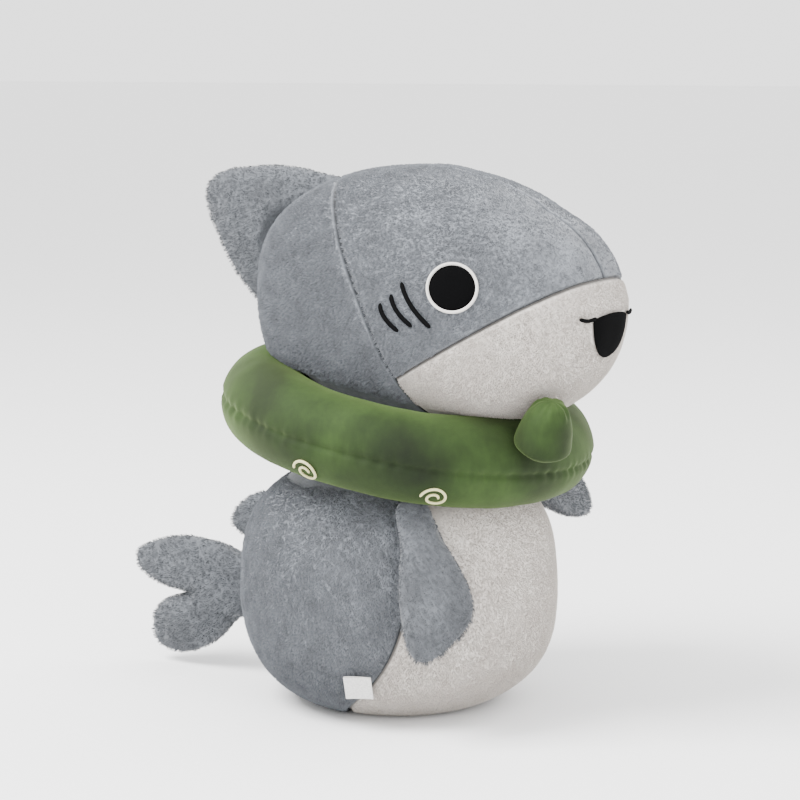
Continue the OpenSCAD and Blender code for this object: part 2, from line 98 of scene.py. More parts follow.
# The head is a rounded block: this power makes it squarer than an ellipsoid, and this share of its
# width is its height. Its brow falls by a share of the head's size, fully so past these directions.
HEAD_POWER = 2.45
HEAD_TALL = 0.98
BROW_FALL = 0.13
BROW_FRONT = 0.8
BROW_UP = 0.6
HEAD_LOW, HEAD_HIGH = span("head_back_right", "head_back_left", "face_right", "face_left", "jaw_panel")
HEAD_HALF = (HEAD_HIGH - HEAD_LOW) / 2
HEAD_HALF[2] = HEAD_HALF[0] * HEAD_TALL
HEAD_CENTRE = (HEAD_LOW + HEAD_HIGH) / 2
HEAD_CENTRE[2] = HEAD_HIGH[2] - HEAD_HALF[2]

BODY_R = span("back_panel_left", "back_panel_right")[1][0]
BODY_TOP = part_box("body_stuffing")[1][2]
BODY_WIDE_Z = 0.52 * BODY_TOP


# ---- Meshes ----
def lumps(points, size, seed):
    """Smooth noise from -1 to 1 at each point, with bumps about size metres apart."""
    shift = Vector((17.3 * seed, 5.1 * seed, 9.7 * seed))
    return np.array([noise.noise(Vector(p) / size + shift) for p in points])


def point_normals(points, faces):
    """The unit normal at each point of a sheet."""
    normals = np.zeros_like(points)
    size = np.cross(
        points[[f[2] for f in faces]] - points[[f[0] for f in faces]],
        points[[f[-1] for f in faces]] - points[[f[1] for f in faces]],
    )
    for corner in range(4):
        np.add.at(normals, [f[min(corner, len(f) - 1)] for f in faces], size)
    return unit(normals + 1e-12)


def new_object(name, points, faces):
    """A smooth-shaded mesh object."""
    mesh = bpy.data.meshes.new(name)
    mesh.from_pydata([tuple(p) for p in points], [], faces)
    mesh.validate()
    mesh.shade_smooth()
    obj = bpy.data.objects.new(name, mesh)
    bpy.context.scene.collection.objects.link(obj)
    return obj


def facing(points, faces, outward):
    """The faces, turned round if they don't face along the outward directions."""
    if np.sum(point_normals(points, faces) * outward) < 0:
        return [f[::-1] for f in faces]
    return faces


def fabric(name, points, faces, thickness):
    """A closed sheet of fabric: an outer face, an inner face, and a wall along each free edge."""
    count = len(points)
    edges = {(f[i], f[(i + 1) % len(f)]) for f in faces for i in range(len(f))}
    inner_points = points - thickness * point_normals(points, faces)
    inner = [[v + count for v in f[::-1]] for f in faces]
    walls = [[b, a, a + count, b + count] for a, b in edges if (b, a) not in edges]
    return new_object(name, np.vstack([points, inner_points]), faces + inner + walls)


def shell(name, points, faces, thickness, centre):
    """Fabric whose outer face looks away from a centre."""
    return fabric(name, points, facing(points, faces, points - centre), thickness)


def fan_faces(rings, n):
    """Faces of a fan: point 0 in the middle, then rings of n points."""
    faces = [[0, 1 + j, 1 + (j + 1) % n] for j in range(n)]
    for i in range(rings - 1):
        a = 1 + i * n
        faces += [[a + j, a + n + j, a + n + (j + 1) % n, a + (j + 1) % n] for j in range(n)]
    return faces


def end_caps(rows, cols):
    """The two flat ends of a tube made of rows of points, each closed on itself."""
    return [list(range(cols))[::-1], [(rows - 1) * cols + j for j in range(cols)]]


def grid_faces(rows, cols, closed=False):
    """Faces of a grid of points given row by row. A closed grid joins its last column to its first."""
    last = cols if closed else cols - 1
    return [
        [i * cols + j, i * cols + (j + 1) % cols, (i + 1) * cols + (j + 1) % cols, (i + 1) * cols + j]
        for i in range(rows - 1)
        for j in range(last)
    ]


def groove(distance, depth, width):
    """How far fabric dips near a seam that is that distance away."""
    return depth * np.exp(-((distance / width) ** 2))


# ---- The collar presses into what it touches ----
def tube_offset(p):
    """From the nearest point of the tube's middle line to each point."""
    q = p - NECK_CENTRE
    axial = q @ NECK_AXIS
    flat = q - axial[:, None] * NECK_AXIS
    out = flat / (np.linalg.norm(flat, axis=1, keepdims=True) + 1e-9)
    return flat - COLLAR_R * out + axial[:, None] * NECK_AXIS


def fullness(bearing, outward):
    """How much thicker the collar's tube is on its outer side, 1, towards the back of the neck."""
    half_extra = 3.0 * MM
    return half_extra * (1 - np.cos(bearing)) * np.clip(outward, 0, 1)


def ring_bearing(p):
    """The bearing of points round the collar, from the front."""
    front = unit(np.cross([1, 0, 0], NECK_AXIS))
    q = p - NECK_CENTRE
    return np.arctan2(q[:, 0], q @ front)


def clear_of_collar(p, room):
    """Moves points off the collar, softly, until they clear its tube by the room."""
    softness = 1.5 * MM
    offset = tube_offset(p)
    distance = np.linalg.norm(offset, axis=1)
    q = p - NECK_CENTRE
    out = unit(q - (q @ NECK_AXIS)[:, None] * NECK_AXIS + 1e-9)
    outward = np.sum(offset * out, axis=1) / distance
    need = TUBE_R + fullness(ring_bearing(p), outward) + room - distance
    push = softness * np.logaddexp(0, need / softness)
    return p + offset / distance[:, None] * push[:, None]


def on_collar(bearing, angle, radius):
    """A point at a bearing from the front, an angle round the tube, and a distance from the tube's middle."""
    front = unit(np.cross([1, 0, 0], NECK_AXIS))
    out = np.sin(bearing)[..., None] * np.array([1.0, 0, 0]) + np.cos(bearing)[..., None] * front
    reach = COLLAR_R + radius * np.cos(angle)
    return NECK_CENTRE + reach[..., None] * out + (radius * np.sin(angle))[..., None] * NECK_AXIS


# ---- Head ----
def turned(centre, bearing, angle):
    """The direction at an angle from a centre direction, towards a bearing round it."""
    helper = np.array([0.0, 0.0, 1.0]) if abs(centre[2]) < 0.9 else np.array([0.0, 1.0, 0.0])
    u = unit(np.cross(centre, helper))
    v = np.cross(centre, u)
    across = np.cos(bearing)[..., None] * u + np.sin(bearing)[..., None] * v
    return np.cos(angle)[..., None] * centre + np.sin(angle)[..., None] * across


def head_reach(d):
    """Distance from the head's centre to its skin along each direction. The forehead falls to the snout."""
    forward = np.clip(-d[..., 1] / BROW_FRONT, 0, 1)
    upward = np.clip(d[..., 2] / BROW_UP, 0, 1)
    round_head = np.sum(np.abs(d / HEAD_HALF) ** HEAD_POWER, axis=-1) ** (-1 / HEAD_POWER)
    return (1 - BROW_FALL * forward * upward) * round_head


def head_normal(d):
    """The skin's outward direction."""
    q = d / HEAD_HALF
    return unit(np.sign(q) * np.abs(q) ** (HEAD_POWER - 1) / HEAD_HALF + 1e-9 * d)


def head_point(d, lift=0.0):
    """Points on the head's skin, which is a little lumpy and rests on the collar."""
    p = HEAD_CENTRE + head_reach(d)[:, None] * d
    out = 2.0 * MM * lumps(p, 0.11, 1) + 0.7 * MM * lumps(p, 0.035, 2) - SKIN_DROP + lift
    return clear_of_collar(p + head_normal(d) * np.asarray(out)[:, None], PILE / 2)


def roll(d):
    """Degrees from the crown down the side of the head."""
    return np.degrees(np.arctan2(np.abs(d[..., 0]), d[..., 2]))


def behind_seam(d):
    """Whether a direction is behind the seam at the back of the face, which leans forward as it falls."""
    crown_angle, lean = 45, 0.42
    return np.degrees(np.arccos(np.clip(d[..., 1], -1, 1))) < crown_angle + lean * roll(d)


def over_jaw(d):
    """Whether a direction is above the seam between the grey face and the white jaw."""
    drop, slope = 64 * MM, 0.58
    p = head_reach(d)[..., None] * d
    return p[..., 2] > -drop - slope * p[..., 1]


def fan_edge(rule, centre, n):
    """The angle from a centre direction at which a rule stops holding, at each of n bearings."""
    halvings = 14
    bearing = 2 * math.pi * np.arange(n) / n
    steps = np.radians(np.arange(0, 170, 1.0))
    holds = rule(turned(centre, bearing[:, None] + 0 * steps, 0 * bearing[:, None] + steps))
    first = np.argmin(holds, axis=1)
    low, high = steps[first - 1], steps[first]
    for _ in range(halvings):
        middle = (low + high) / 2
        inside = rule(turned(centre, bearing, middle))
        low = np.where(inside, middle, low)
        high = np.where(inside, high, middle)
    return low


def head_panel(name, rule, centre, material):
    """One sewn panel of the head, as far as its rule holds, dipping at its edge into the seam."""
    n, rings = 300, 60
    centre = unit(centre)
    edge = fan_edge(rule, centre, n)
    share = np.sin(np.linspace(0, math.pi / 2, rings + 1))[1:]
    bearing = 2 * math.pi * np.arange(n) / n
    angle = share[:, None] * edge
    d = np.vstack([centre[None], turned(centre, bearing + 0 * angle, angle).reshape(-1, 3)])
    d = unit(d)
    to_seam = np.concatenate([[edge.min()], ((1 - share)[:, None] * edge).ravel()]) * head_reach(d)
    dip = groove(to_seam, 3.2 * MM, 1.9 * MM)
    points = head_point(d, -dip)
    obj = dress(shell(name, points, fan_faces(rings, n), PILE, HEAD_CENTRE), material, "head", (name,))
    shade_seam(obj, to_seam)
    return obj, head_cover(points) * seam_cover(to_seam)


def shade_seam(obj, to_seam):
    """Darkens a panel's fabric beside its seam, where no light reaches between the piles."""
    shade = obj.data.attributes.new("seam", "FLOAT", "POINT")
    near = groove(to_seam, 1, 1.9 * MM)
    shade.data.foreach_set("value", np.concatenate([near, near]))


def seam_cover(to_seam):
    """The pile is pulled into a seam, so it is shorter beside it."""
    return np.clip((to_seam - 0.9 * MM) / (2.6 * MM), 0, 1)


def dress(obj, material, body, nodes):
    """Gives a stuffed piece its material and body, and hides the CAD nodes that it stands for."""
    obj.data.materials.append(material)
    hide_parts(*nodes)
    if body:
        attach(obj, body)
    return obj


# ---- Fur ----
GREY_PILE = 2.2 * MM
WHITE_PILE = 1.3 * MM
HAIR_TIME = 4  # A hair's length over its starting speed in Blender.
HAIR_WIDTH = 0.32 * MM
HAIRS_PER_GUIDE = 10


def fur(obj, cover_share, fur_material, length, per_mm2, comb, seed, ruffle=1.0):
    """Short pile on a panel's first points, as much as each one's share says, combed along one direction."""
    mesh = obj.data
    mesh.materials.append(fur_material)
    cover = obj.vertex_groups.new(name="fur")
    for i, w in enumerate(np.clip(cover_share, 0, 1)):
        if w > 0:
            cover.add([i], float(w), "REPLACE")
    area_mm2 = sum(p.area for p in mesh.polygons) / 2 * 1e6
    modifier = obj.modifiers.new("fur", "PARTICLE_SYSTEM")
    system = modifier.particle_system
    system.seed = seed
    s = system.settings
    s.type = "HAIR"
    s.use_advanced_hair = True
    s.count = int(area_mm2 * per_mm2 / HAIRS_PER_GUIDE)
    s.hair_step = 3
    s.render_step = 2
    s.display_step = 2
    s.use_even_distribution = True
    s.distribution = "RAND"
    s.emit_from = "FACE"
    s.normal_factor = length / HAIR_TIME
    s.object_align_factor = [c * length / HAIR_TIME for c in comb]
    s.factor_random = 0.2 * ruffle * length / HAIR_TIME
    s.child_type = "INTERPOLATED"
    s.child_percent = 1
    s.rendered_child_count = HAIRS_PER_GUIDE
    s.child_length = 1.0
    s.roughness_1 = 0.5 * MM * ruffle
    s.roughness_1_size = 0.006
    s.roughness_2 = 0.4 * MM * ruffle
    s.roughness_endpoint = 0.3 * MM * ruffle
    s.clump_factor = 0.3 * ruffle
    s.root_radius = 1.0
    s.tip_radius = 0.35
    s.radius_scale = HAIR_WIDTH
    s.material = len(mesh.materials)
    system.vertex_group_density = "fur"
    system.vertex_group_length = "fur"
    return obj


# ---- Materials: each is named after its slot in the record ----
def new_material(name):
    """An empty node material with its shader: (material, nodes, links, shader)."""
    material = bpy.data.materials.new(name + LOOK)
    material.use_nodes = True
    nodes = material.node_tree.nodes
    return material, nodes, material.node_tree.links, nodes["Principled BSDF"]


def noise_texture(nodes, links, scale, detail, stretch=(1, 1, 1)):
    """Noise in the object's own space, stretched along its axes."""
    place = nodes.new("ShaderNodeTexCoord")
    mapping = nodes.new("ShaderNodeMapping")
    texture = nodes.new("ShaderNodeTexNoise")
    mapping.inputs["Scale"].default_value = stretch
    texture.inputs["Scale"].default_value = scale
    texture.inputs["Detail"].default_value = detail
    links.new(place.outputs["Object"], mapping.inputs["Vector"])
    links.new(mapping.outputs["Vector"], texture.inputs["Vector"])
    return texture.outputs["Fac"]


def ramp(nodes, links, factor, stops):
    """A colour ramp of (place, colour) stops."""
    node = nodes.new("ShaderNodeValToRGB")
    elements = node.color_ramp.elements
    while len(elements) < len(stops):
        elements.new(0.5)
    for element, (place, colour) in zip(elements, stops):
        element.position = place
        element.color = (*colour, 1)
    links.new(factor, node.inputs["Fac"])
    return node.outputs["Color"]


def multiply(nodes, links, a, b, amount):
    """Colour a multiplied by colour b."""
    node = nodes.new("ShaderNodeMix")
    node.data_type = "RGBA"
    node.blend_type = "MULTIPLY"
    node.inputs["Factor"].default_value = amount
    links.new(a, node.inputs[6])
    links.new(b, node.inputs[7])
    return node.outputs[2]


def bump(nodes, links, height, strength, distance):
    """A bump normal from a height."""
    node = nodes.new("ShaderNodeBump")
    node.inputs["Strength"].default_value = strength
    node.inputs["Distance"].default_value = distance
    links.new(height, node.inputs["Height"])
    return node.outputs["Normal"]


def patch_shade(nodes, links, centre, size, shade):
    """White, falling to a shade of grey in one round patch of the object."""
    place = nodes.new("ShaderNodeTexCoord")
    mapping = nodes.new("ShaderNodeMapping")
    mapping.inputs["Scale"].default_value = (1 / size,) * 3
    mapping.inputs["Location"].default_value = [-c / size for c in centre]
    ball = nodes.new("ShaderNodeTexGradient")
    ball.gradient_type = "SPHERICAL"
    links.new(place.outputs["Object"], mapping.inputs["Vector"])
    links.new(mapping.outputs["Vector"], ball.inputs["Vector"])
    return ramp(nodes, links, ball.outputs["Fac"], [(0.05, (1.0,) * 3), (0.55, (shade,) * 3)])


def linear(*rgb):
    """A colour given as 0 to 255, as Blender's linear values."""
    return tuple(((c / 255 + 0.055) / 1.055) ** 2.4 if c > 10 else c / 255 / 12.92 for c in rgb)


def nap_colour(nodes, links, dark, light, patch):
    """Cloudy brushed nap between two colours, with fine streaks over it."""
    cloud = noise_texture(nodes, links, 1 / patch, 4)
    base = ramp(nodes, links, cloud, [(0.35, dark), (0.65, light)])
    streak = noise_texture(nodes, links, 420, 2, (1, 0.45, 0.7))
    fleck = ramp(nodes, links, streak, [(0.3, (0.72,) * 3), (0.7, (1.0,) * 3)])
    return multiply(nodes, links, base, fleck, 0.8)


def plush_material(name, dark, light):
    """Pile fabric as seen between and under its hairs."""
    material, nodes, links, shader = new_material(name)
    # The seam attribute darkens the fabric beside each seam: painted shade.
    seam = nodes.new("ShaderNodeAttribute")
    seam.attribute_name = "seam"
    shade = ramp(nodes, links, seam.outputs["Fac"], [(0.1, (1.0,) * 3), (0.7, (0.22,) * 3)])
    nap = nap_colour(nodes, links, dark, light, 0.03)
    links.new(multiply(nodes, links, nap, shade, 1.0), shader.inputs["Base Color"])
    shader.inputs["Roughness"].default_value = 0.95
    shader.inputs["Specular IOR Level"].default_value = 0.1
    shader.inputs["Sheen Weight"].default_value = 0.25
    pile = noise_texture(nodes, links, 650, 3, (1, 0.5, 0.8))
    links.new(bump(nodes, links, pile, 0.7, 0.8 * MM), shader.inputs["Normal"])
    return material


def fur_material(name, dark, light, patch=0.012):
    """Single hairs: darker at the root, which is painted shade deep in the pile, and no two quite the same.
    """
    material, nodes, links, shader = new_material(name)
    cloud = noise_texture(nodes, links, 1 / patch, 3)
    base = ramp(nodes, links, cloud, [(0.3, dark), (0.7, light)])
    hair = nodes.new("ShaderNodeHairInfo")
    # Painted shade: each hair darkens towards its root.
    along = ramp(nodes, links, hair.outputs["Intercept"], [(0.0, (0.55,) * 3), (0.8, (1.0,) * 3)])
    each = ramp(nodes, links, hair.outputs["Random"], [(0.0, (0.8,) * 3), (1.0, (1.0,) * 3)])
    colour = multiply(nodes, links, multiply(nodes, links, base, along, 1.0), each, 1.0)
    links.new(colour, shader.inputs["Base Color"])
    shader.inputs["Roughness"].default_value = 0.85
    shader.inputs["Specular IOR Level"].default_value = 0.12
    shader.inputs["Sheen Weight"].default_value = 0.22
    return material


def velvet_material(name):
    """Green velvet with cloudy brushed patches, and one darker round patch low on the collar."""
    material, nodes, links, shader = new_material(name)
    cloud = noise_texture(nodes, links, 14, 4)
    stops = [(0.36, linear(20, 31, 8)), (0.52, linear(33, 50, 17)), (0.7, linear(47, 67, 27))]
    base = ramp(nodes, links, cloud, stops)
    streak = noise_texture(nodes, links, 260, 3, (1, 1, 0.35))
    fleck = ramp(nodes, links, streak, [(0.3, (0.78,) * 3), (0.7, (1.0,) * 3)])
    napped = multiply(nodes, links, base, fleck, 0.8)
    patch = patch_shade(nodes, links, *DARK_VELVET_PATCH)
    links.new(multiply(nodes, links, napped, patch, 1.0), shader.inputs["Base Color"])
    shader.inputs["Roughness"].default_value = 0.8
    shader.inputs["Specular IOR Level"].default_value = 0.2
    shader.inputs["Sheen Weight"].default_value = 0.28
    shader.inputs["Sheen Roughness"].default_value = 0.45
    shader.inputs["Sheen Tint"].default_value = (*linear(150, 175, 105), 1)
    pile = noise_texture(nodes, links, 900, 2)
    links.new(bump(nodes, links, pile, 0.35, 0.4 * MM), shader.inputs["Normal"])
    return material


def cloth_material(name, colour, scale, strength, roughness=0.85, shine=0.15):
    """Felt, tape or thread: one colour with a fine grain."""
    material, nodes, links, shader = new_material(name)
    grain = noise_texture(nodes, links, scale, 3)
    shade = [tuple(0.75 * c for c in colour), colour]
    links.new(ramp(nodes, links, grain, [(0.3, shade[0]), (0.7, shade[1])]), shader.inputs["Base Color"])
    shader.inputs["Roughness"].default_value = roughness
    shader.inputs["Specular IOR Level"].default_value = shine
    links.new(bump(nodes, links, grain, strength, 0.3 * MM), shader.inputs["Normal"])
    return material


GREY = (linear(99, 102, 107), linear(120, 124, 130))
WHITE = (linear(192, 184, 177), linear(204, 198, 191))
# The fins, tail and flippers use the same grey plush darkened: painted shade.
FIN_GREY_PAINTED_SHADE = tuple(tuple(0.62 * c for c in colour) for colour in GREY)
# The velvet is darker in one round patch low on the right of the collar: where, how large, and how dark.
DARK_VELVET_PATCH = (on_collar(np.array(math.radians(-66)), np.array(-0.5), np.array(TUBE_R)), 62 * MM, 0.45)
grey_plush = plush_material("grey_plush", *GREY)
white_plush = plush_material("white_plush", *WHITE)
grey_fur = fur_material("grey_pile", *GREY)
fin_fur_painted_shade = fur_material("fin_pile_painted_shade", *FIN_GREY_PAINTED_SHADE)
fin_plush_painted_shade = plush_material("grey_plush", *FIN_GREY_PAINTED_SHADE)
white_fur = fur_material("white_pile", *WHITE)
green_velvet = velvet_material("green_velvet")
black_felt = cloth_material("black_felt", (0.002, 0.002, 0.0022), 900, 0.5, 0.95, 0.03)
black_thread = cloth_material("black_thread", (0.002, 0.002, 0.0022), 1500, 0.6, 0.85, 0.05)
white_thread = cloth_material("white_thread", linear(215, 212, 207), 1500, 0.6, 0.6)
cream_thread = cloth_material("cream_thread", linear(205, 201, 150), 1500, 0.6, 0.6)
label_tape = cloth_material("label_tape", linear(218, 216, 214), 700, 0.3)
polyester = cloth_material("polyester_stuffing", linear(238, 236, 230), 90, 1.0)


# ---- The head's pieces ----
STITCH_W = 2.4 * MM
FELT_LIFT = 2.0 * MM  # How far felt stands off the head's backing.
EYE_R = (span("eye_ring_right")[1] - span("eye_ring_right")[0])[2] / 2 - STITCH_W
EYE_DIR = unit((np.add(*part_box("eye_right")) / 2 - HEAD_CENTRE))
MOUTH_LOW, MOUTH_HIGH = span("mouth_patch")


def mirrored(v, side):
    """v on the right, side -1, or its mirror image on the left, side 1."""
    return np.array([abs(v[0]) * side, v[1], v[2]])


def head_cover(points):
    """0 where felt covers the head's pile, and 1 elsewhere."""
    d = unit(points - HEAD_CENTRE)
    cover = np.ones(len(points))
    for side in (-1, 1):
        away = np.arccos(np.clip(d @ unit(mirrored(EYE_DIR, side)), -1, 1)) * head_reach(d)
        cover *= np.clip((away - EYE_R) / (2 * MM), 0, 1)
    in_mouth = (points[:, 1] < MOUTH_HIGH[1]) & (np.abs(points[:, 0]) < MOUTH_HIGH[0])
    in_mouth &= (points[:, 2] > MOUTH_LOW[2]) & (points[:, 2] < MOUTH_HIGH[2])
    cover[in_mouth] = 0
    touching = np.linalg.norm(tube_offset(points), axis=1) - TUBE_R
    hole = np.linalg.norm(np.cross(points - NECK_CENTRE, NECK_AXIS), axis=1) < COLLAR_R
    low = (points - NECK_CENTRE) @ NECK_AXIS < TUBE_R
    cover[hole & low & (touching < 30 * MM)] = 0
    return cover


def build_head():
    """The five panels of the head."""
    head_comb = (0, 0.75, -0.45)
    for side, word in ((-1, "right"), (1, "left")):
        on_side = lambda d, side=side: d[..., 0] * side > -1e-6
        back = head_panel(
            f"head_back_{word}",
            lambda d: on_side(d) & behind_seam(d),
            (0.75 * side, 0.75, 0.1),
            grey_plush,
        )
        face = head_panel(
            f"face_{word}",
            lambda d: on_side(d) & ~behind_seam(d) & over_jaw(d),
            (0.75 * side, -0.6, 0.65),
            grey_plush,
        )
        for seed, (panel, cover) in enumerate((back, face)):
            fur(panel, cover, grey_fur, GREY_PILE, 1.3, head_comb, 10 * (side + 2) + seed)
    jaw, cover = head_panel(
        "jaw_panel", lambda d: ~behind_seam(d) & ~over_jaw(d), (0, -1, -0.22), white_plush
    )
    fur(jaw, cover, white_fur, WHITE_PILE, 1.6, (0, 0.3, -0.4), 5, 0.4)
    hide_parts("head_stuffing")


def on_head_patch(name, centre, outline, lift, dome, rings, material, nodes, thickness=0.8 * MM):
    """A felt patch on the head: an outline of directions round a centre, slightly domed."""
    centre = unit(centre)
    n = len(outline)
    share = np.arange(1, rings + 1) / rings
    d = [centre[None]] + [unit(centre + s * (outline - centre)) for s in share]
    d = np.vstack(d)
    rise = np.concatenate([[1.0], np.repeat(1 - share**4, n)])
    obj = shell(name, head_point(d, lift + dome * rise), fan_faces(rings, n), thickness, HEAD_CENTRE)
    return dress(obj, material, "head", nodes)


def ridge(path, normals, width, height, loop=False):
    """Points and faces of satin stitching along a path: a half-round ridge with a rib for each thread."""
    rib_pitch, rib_share, sides = 1.6 * MM, 0.1, 12
    path = np.asarray(path)
    if loop:
        along = unit(np.roll(path, -1, axis=0) - np.roll(path, 1, axis=0))
    else:
        along = unit(np.gradient(path, axis=0))
    side = unit(np.cross(along, normals))
    distance = np.concatenate([[0], np.cumsum(np.linalg.norm(np.diff(path, axis=0), axis=1))])
    rib = 1 + rib_share * np.sin(2 * math.pi * distance / rib_pitch)
    taper = np.ones(len(path))
    if not loop:
        ends = np.minimum(distance, distance[-1] - distance)
        taper = np.clip(ends / (0.8 * width), 0, 1) ** 0.5 * 0.75 + 0.25
    ring = [
        path
        + (np.cos(a) * width / 2 * taper)[:, None] * side
        + (np.sin(a) * height * rib * taper)[:, None] * normals
        for a in np.linspace(0, 2 * math.pi, sides, endpoint=False)
    ]
    points = np.stack(ring, axis=1).reshape(-1, 3)
    count = len(path)
    faces = grid_faces(count, sides, closed=True)
    if loop:
        last = (count - 1) * sides
        faces += [[last + j, last + (j + 1) % sides, (j + 1) % sides, j] for j in range(sides)]
    else:
        faces += end_caps(count, sides)
    return points, faces


def stitched(name, strokes, material, body, nodes):
    """Several ridges of stitching as one piece."""
    points, faces = [], []
    for stroke_points, stroke_faces in strokes:
        start = sum(len(p) for p in points)
        points.append(stroke_points)
        faces += [[v + start for v in f] for f in stroke_faces]
    obj = new_object(name, np.vstack(points), [f[::-1] for f in faces])
    return dress(obj, material, body, nodes)


def build_eyes():
    """Each eye is a black felt disc with a ring of white satin stitching."""
    n, rings = 96, 12
    bearing = 2 * math.pi * np.arange(n) / n
    for side, word in ((-1, "right"), (1, "left")):
        centre = unit(mirrored(EYE_DIR, side))
        reach = head_reach(centre[None])[0]
        outline = turned(centre, bearing, np.full(n, math.asin(EYE_R / reach)))
        name = f"eye_{word}"
        on_head_patch(name, centre, outline, FELT_LIFT, 1.6 * MM, rings, black_felt, (name,))
        around = turned(centre, bearing, np.full(n, math.asin((EYE_R + STITCH_W / 2) / reach)))
        path = head_point(around, FELT_LIFT + 0.2 * MM)
        stroke = ridge(path, head_normal(around), STITCH_W, 1.3 * MM, loop=True)
        name = f"eye_ring_{word}"
        stitched(name, [stroke], white_thread, "head", (name,))


GILLS = (
    ((0.93, -0.08, -0.06), 21 * MM),
    ((0.92, -0.17, -0.01), 24 * MM),
    ((0.9, -0.27, 0.03), 33 * MM),
)


def build_gills():
    """Three curved strokes of black stitching behind each eye."""
    slant, curve = 0.75, 0.04
    width, height = 3.8 * MM, 1.0 * MM
    t = np.linspace(-1, 1, 60)
    for side, word in ((-1, "right"), (1, "left")):
        strokes = []
        for place, length in GILLS:
            rise = length / (2 * HEAD_HALF[0]) * t
            middle = unit(mirrored(place, side))
            d = unit(middle + np.stack([0 * t, -slant * rise - curve * t * t, -rise], axis=1))
            strokes.append(ridge(head_point(d, FELT_LIFT + 0.2 * MM), head_normal(d), width, height))
        name = f"gill_stitches_{word}"
        stitched(name, strokes, black_thread, "head", (name,))


MOUTH_DIR = unit(np.array([0.0, -1.0, -0.07]))


def build_mouth():
    """An open mouth in black felt, and the line of stitching that runs into it from each side."""
    n, rings = 96, 14
    half_width = (MOUTH_HIGH[0] - MOUTH_LOW[0]) / 2
    drop, crown = 32 * MM, 5 * MM
    b = 2 * math.pi * np.arange(n) / n
    tall = np.where(np.sin(b) < 0, drop, crown)
    flat = np.stack([half_width * np.cos(b), 0 * b, tall * np.sin(b)], axis=1)
    outline = unit(head_reach(MOUTH_DIR[None])[0] * MOUTH_DIR + flat)
    name = "mouth_patch"
    on_head_patch(name, MOUTH_DIR, outline, FELT_LIFT, 0.8 * MM, rings, black_felt, (name,))
    t = np.linspace(0, 4, 50)
    strokes = []
    for side in (-1, 1):
        across = side * (0.185 + 0.033 * t)
        fall = -0.05 - 0.012 * np.sin(t * math.pi / 4)
        d = unit(np.stack([across, 0 * t - 1, fall], axis=1))
        strokes.append(ridge(head_point(d, FELT_LIFT + 0.6 * MM), head_normal(d), 3 * MM, 1.2 * MM))
    stitched("mouth_line", strokes, black_thread, "head", ("mouth_line",))


# ---- Body ----
SHOULDER = 1.15


def body_profile(share):
    """(radius, height) of the body's side, from share 0 at its base to SHOULDER past its rounded top.

    Past share 1 the side runs up inside the collar.
    """
    low_power, high_power = 2 / 2.7, 2 / 2.6
    low_depth = BODY_WIDE_Z + 5 * MM
    rise = 1.04 * BODY_WIDE_Z
    low = -math.asin((BODY_WIDE_Z / low_depth) ** (1 / low_power))
    high = math.asin(((BODY_TOP - BODY_WIDE_Z) / rise) ** (1 / high_power))
    a = low + (high - low) * np.minimum(share, 1)
    under = a < 0
    radius = BODY_R * np.cos(a) ** np.where(under, low_power, high_power)
    z_low = BODY_WIDE_Z - low_depth * np.abs(np.sin(a)) ** low_power
    z_high = BODY_WIDE_Z + rise * np.abs(np.sin(a)) ** high_power
    past = np.maximum(share - 1, 0) / (SHOULDER - 1)
    return radius - 6 * MM * past, np.where(under, z_low, z_high) + 34 * MM * past


def seam_bearing(z):
    """Degrees from the front to the seam between belly and back, on either side."""
    return 52 + 9 * (1 - z / BODY_TOP) + 38 * np.exp(-z / (32 * MM))


def body_surface(start, end, rows, cols):
    """(points, distance of each from a side seam) of the body between two bearings at each height."""
    share = np.linspace(0, SHOULDER, rows)
    radius, z = body_profile(share)
    u = (1 - np.cos(np.linspace(0, math.pi, cols))) / 2
    first, last = start(z)[:, None], end(z)[:, None]
    bearing = np.radians(first + (last - first) * u)
    to_seam = np.radians(np.abs(last - first)) * np.minimum(u, 1 - u) * radius[:, None]
    base_dip = groove(share * 0.2, 2 * MM, 5 * MM)[:, None]
    r = radius[:, None] - groove(to_seam, 2.4 * MM, 4.5 * MM) - base_dip
    neck_low = 0.85 * BODY_TOP
    lean = NECK_CENTRE[1] * np.clip((z - neck_low) / (NECK_CENTRE[2] - neck_low), 0, 1)
    points = [r * np.sin(bearing), lean[:, None] - r * np.cos(bearing), z[:, None] + 0 * bearing]
    points = np.stack(points, axis=-1).reshape(-1, 3)
    away = np.clip(points[:, 2] / (30 * MM), 0, 1)
    wave = 2.2 * MM * lumps(points, 0.09, 4) + 0.8 * MM * lumps(points, 0.03, 5)
    points = points + unit(points * [1, 1, 0]) * (wave * away - SKIN_DROP)[:, None]
    return clear_of_collar(points, PILE / 2), to_seam.ravel()


def body_panel(name, start, end, material, fur_look, length, ruffle, seed):
    """One panel of the body between two bearings, each a function of the height."""
    rows, cols = 96, 84
    points, to_seam = body_surface(start, end, rows, cols)
    obj = shell(name, points, grid_faces(rows, cols), PILE, np.array([0, 0, BODY_WIDE_Z]))
    dress(obj, material, None, (name,))
    shade_seam(obj, to_seam)
    fur(obj, body_cover(points) * seam_cover(to_seam), fur_look, length, 1.4, (0, 0, -0.7), seed, ruffle)
    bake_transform(obj)
    return obj


def body_cover(points):
    """0 where the body's pile is pressed under the collar, and 1 elsewhere."""
    hidden = (points[:, 2] > 0.95 * BODY_TOP) & (np.hypot(points[:, 0], points[:, 1]) < 0.8 * COLLAR_R)
    return np.where(hidden, 0.0, 1.0)


def build_body():
    """The belly panel and the two back panels."""
    white = (white_plush, white_fur, WHITE_PILE, 0.4)
    grey = (grey_plush, grey_fur, GREY_PILE, 1.0)
    belly = body_panel("belly_panel", lambda z: -seam_bearing(z), seam_bearing, *white, 41)
    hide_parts("body_stuffing")
    body_panel("back_panel_left", seam_bearing, lambda z: 180 + 0 * z, *grey, 42)
    body_panel("back_panel_right", lambda z: -180 + 0 * z, lambda z: -seam_bearing(z), *grey, 43)


